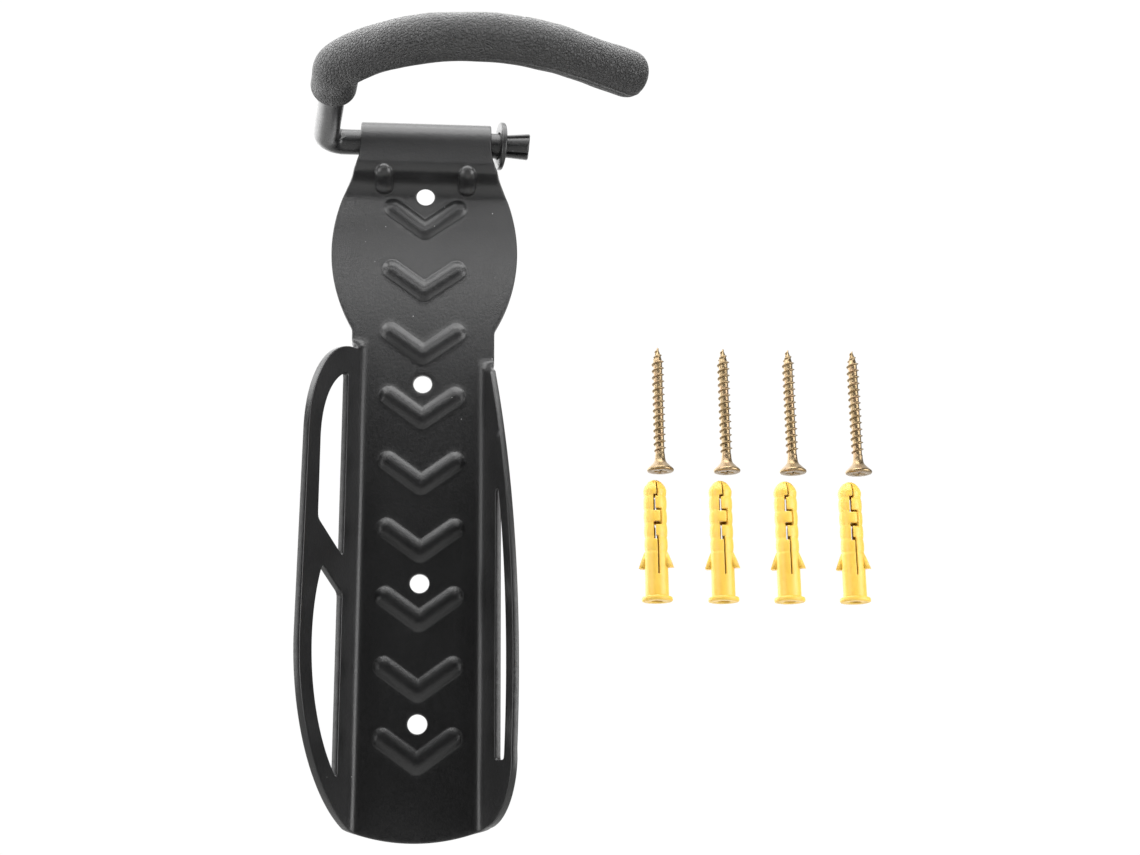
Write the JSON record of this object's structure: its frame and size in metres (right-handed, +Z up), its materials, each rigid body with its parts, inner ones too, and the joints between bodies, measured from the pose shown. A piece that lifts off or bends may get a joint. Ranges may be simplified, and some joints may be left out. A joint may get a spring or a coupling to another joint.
{
  "type": "bicycle wall rack",
  "caption": "Wall rack that hangs a bicycle by its front wheel: a pressed steel plate with ribs and wings, and a padded swinging hook.",
  "frame": {"origin": "on the back of the plate, at its middle, midway between the fifth and sixth V ribs from the foot", "axes": "+Z up the wall, +Y into the wall, -Y out to the person, +X to the right seen from the front"},
  "size_m": [0.2185, 0.105, 0.2795],
  "materials": {
    "plate_steel": "fine semi-gloss black powder coat",
    "rod_steel": "semi-gloss black powder coat",
    "sleeve_foam": "soft black foam with a leathery skin",
    "washer_steel": "black coated steel",
    "screw_steel": "yellow zinc plated",
    "plug_nylon": "yellow nylon"
  },
  "bodies": {
    "plate": {"wall_plate": "plate_steel", "screw_1": "screw_steel", "screw_2": "screw_steel", "screw_3": "screw_steel", "screw_4": "screw_steel", "wall_plug_1": "plug_nylon", "wall_plug_2": "plug_nylon", "wall_plug_3": "plug_nylon", "wall_plug_4": "plug_nylon"},
    "hook": {"hook_rod": "rod_steel", "hook_sleeve": "sleeve_foam"},
    "washer": {"washer": "washer_steel"}
  },
  "joints": [
    {"name": "hook_hinge", "type": "hinge", "parent": "plate", "child": "hook", "pos_m": [0, -0.0096, 0.1237], "axis": [-1, 0, 0], "range_deg": [-80, 88]},
    {"name": "washer_spin", "type": "hinge", "parent": "hook", "child": "washer", "pos_m": [0.0296, -0.0096, 0.1237], "axis": [-1, 0, 0], "continuous": true}
  ]
}
